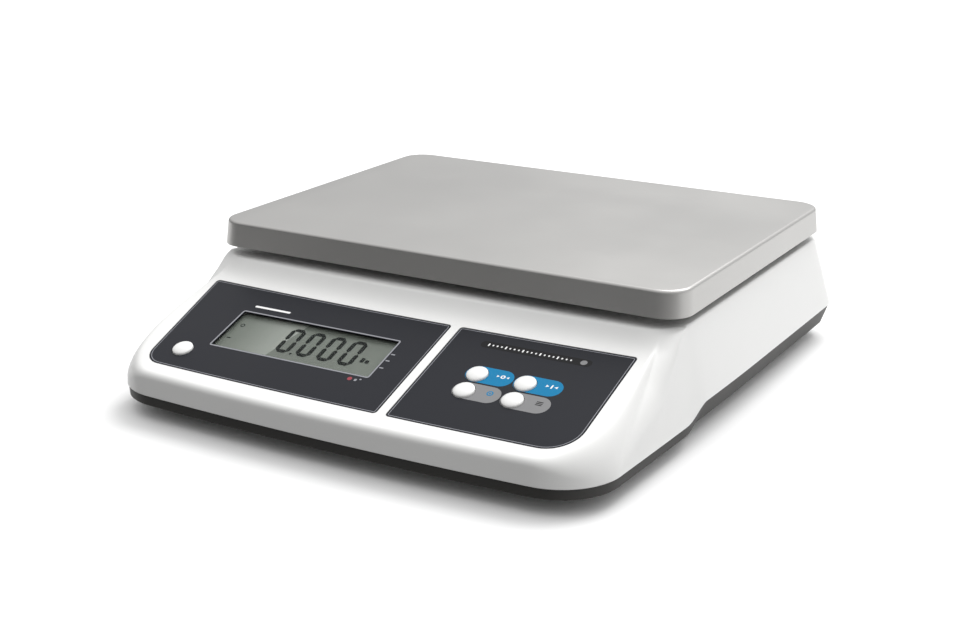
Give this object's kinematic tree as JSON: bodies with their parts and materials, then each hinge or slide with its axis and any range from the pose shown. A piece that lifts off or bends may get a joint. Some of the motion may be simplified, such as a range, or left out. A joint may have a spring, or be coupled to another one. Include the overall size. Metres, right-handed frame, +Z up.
{
  "type": "bench scale",
  "caption": "Low bench scale: flat steel platter on a load cell, white housing with a sloping console, display window, domed keys and screw feet.",
  "frame": {"origin": "middle of the footprint, on the bench under the feet", "axes": "+X to the operator's right, +Y away from the operator, towards the rear wall, +Z up"},
  "size_m": [0.3192, 0.357, 0.09],
  "materials": {
    "white_plastic": "satin",
    "dark_plastic": "matte",
    "black_plastic": "satin",
    "overlay_film": "satin",
    "clear_plastic": "polished",
    "lcd": "satin",
    "circuit_board": "satin",
    "brushed_stainless": "brushed",
    "cast_aluminium": "cast",
    "machined_aluminium": "machined",
    "zinc_plated": "plated",
    "rubber": "matte",
    "cable_sheath": "matte",
    "red_lead": "matte",
    "battery_case": "matte"
  },
  "bodies": {
    "base": {"top_housing": "white_plastic", "base_shell": "dark_plastic", "battery_cover": "dark_plastic", "power_key_switch": "dark_plastic", "key_upper_left_switch": "dark_plastic", "key_upper_right_switch": "dark_plastic", "key_lower_left_switch": "dark_plastic", "key_lower_right_switch": "dark_plastic", "dc_jack": "black_plastic", "level_cup": "black_plastic", "display_overlay": "overlay_film", "keypad_overlay": "overlay_film", "key_ribbon": "overlay_film", "lcd_window": "clear_plastic", "level_vial": "clear_plastic", "lcd_module": "lcd", "display_board": "circuit_board", "key_board": "circuit_board", "load_cell": "machined_aluminium", "cell_pedestal": "machined_aluminium", "dc_jack_nut": "zinc_plated", "overload_stop": "zinc_plated", "cell_screw_1": "zinc_plated", "cell_screw_2": "zinc_plated", "cover_screw_1": "zinc_plated", "cover_screw_2": "zinc_plated", "housing_screw_1": "zinc_plated", "housing_screw_2": "zinc_plated", "housing_screw_3": "zinc_plated", "housing_screw_4": "zinc_plated", "load_cell_cable": "cable_sheath", "jack_lead": "cable_sheath", "battery_lead": "red_lead", "battery": "battery_case"},
    "weigh_deck": {"deck_frame": "cast_aluminium", "deck_spacer": "machined_aluminium", "deck_screw_1": "zinc_plated", "deck_screw_2": "zinc_plated", "platter_buffer_1": "rubber", "platter_buffer_2": "rubber", "platter_buffer_3": "rubber", "platter_buffer_4": "rubber"},
    "platter": {"platter": "brushed_stainless"},
    "foot_pad_front_left": {"foot_pad_front_left": "rubber"},
    "foot_screw_front_left": {"foot_screw_front_left": "black_plastic"},
    "foot_pad_front_right": {"foot_pad_front_right": "rubber"},
    "foot_screw_front_right": {"foot_screw_front_right": "black_plastic"},
    "foot_pad_rear_left": {"foot_pad_rear_left": "rubber"},
    "foot_screw_rear_left": {"foot_screw_rear_left": "black_plastic"},
    "foot_pad_rear_right": {"foot_pad_rear_right": "rubber"},
    "foot_screw_rear_right": {"foot_screw_rear_right": "black_plastic"},
    "power_key": {"power_key": "white_plastic"},
    "key_upper_left": {"key_upper_left": "white_plastic"},
    "key_upper_right": {"key_upper_right": "white_plastic"},
    "key_lower_left": {"key_lower_left": "white_plastic"},
    "key_lower_right": {"key_lower_right": "white_plastic"}
  },
  "joints": [
    {"name": "deck_travel", "type": "slide", "parent": "base", "child": "weigh_deck", "axis": [0, 0, 1], "range_m": [-0.0005, 0], "stiffness_N_per_m": 40000, "springref_m": 0.001},
    {"name": "platter_lift", "type": "slide", "parent": "weigh_deck", "child": "platter", "axis": [0, 0, 1], "range_m": [0, 0.06]},
    {"name": "foot_height_front_left", "type": "slide", "parent": "base", "child": "foot_pad_front_left", "axis": [0, 0, -1], "range_m": [0, 0.005]},
    {"name": "foot_turn_front_left", "type": "hinge", "parent": "foot_pad_front_left", "child": "foot_screw_front_left", "pos_m": [-0.118, -0.132, 0.0066], "axis": [0, 0, -1], "range_deg": [0, 1440]},
    {"name": "foot_height_front_right", "type": "slide", "parent": "base", "child": "foot_pad_front_right", "axis": [0, 0, -1], "range_m": [0, 0.005]},
    {"name": "foot_turn_front_right", "type": "hinge", "parent": "foot_pad_front_right", "child": "foot_screw_front_right", "pos_m": [0.118, -0.132, 0.0066], "axis": [0, 0, -1], "range_deg": [0, 1440]},
    {"name": "foot_height_rear_left", "type": "slide", "parent": "base", "child": "foot_pad_rear_left", "axis": [0, 0, -1], "range_m": [0, 0.005]},
    {"name": "foot_turn_rear_left", "type": "hinge", "parent": "foot_pad_rear_left", "child": "foot_screw_rear_left", "pos_m": [-0.118, 0.132, 0.0066], "axis": [0, 0, -1], "range_deg": [0, 1440]},
    {"name": "foot_height_rear_right", "type": "slide", "parent": "base", "child": "foot_pad_rear_right", "axis": [0, 0, -1], "range_m": [0, 0.005]},
    {"name": "foot_turn_rear_right", "type": "hinge", "parent": "foot_pad_rear_right", "child": "foot_screw_rear_right", "pos_m": [0.118, 0.132, 0.0066], "axis": [0, 0, -1], "range_deg": [0, 1440]},
    {"name": "power_key_press", "type": "slide", "parent": "base", "child": "power_key", "axis": [0, -0.3219, 0.9468], "range_m": [-0.0008, 0], "stiffness_N_per_m": 2000, "springref_m": 0.0004},
    {"name": "key_upper_left_press", "type": "slide", "parent": "base", "child": "key_upper_left", "axis": [0, -0.3219, 0.9468], "range_m": [-0.0008, 0], "stiffness_N_per_m": 2000, "springref_m": 0.0004},
    {"name": "key_upper_right_press", "type": "slide", "parent": "base", "child": "key_upper_right", "axis": [0, -0.3219, 0.9468], "range_m": [-0.0008, 0], "stiffness_N_per_m": 2000, "springref_m": 0.0004},
    {"name": "key_lower_left_press", "type": "slide", "parent": "base", "child": "key_lower_left", "axis": [0, -0.3219, 0.9468], "range_m": [-0.0008, 0], "stiffness_N_per_m": 2000, "springref_m": 0.0004},
    {"name": "key_lower_right_press", "type": "slide", "parent": "base", "child": "key_lower_right", "axis": [0, -0.3219, 0.9468], "range_m": [-0.0008, 0], "stiffness_N_per_m": 2000, "springref_m": 0.0004}
  ],
  "couplings": [
    {"joint": "foot_turn_front_left", "follows": "foot_height_front_left", "rad_per_m": 5026.5},
    {"joint": "foot_turn_front_right", "follows": "foot_height_front_right", "rad_per_m": 5026.5},
    {"joint": "foot_turn_rear_left", "follows": "foot_height_rear_left", "rad_per_m": 5026.5},
    {"joint": "foot_turn_rear_right", "follows": "foot_height_rear_right", "rad_per_m": 5026.5}
  ]
}
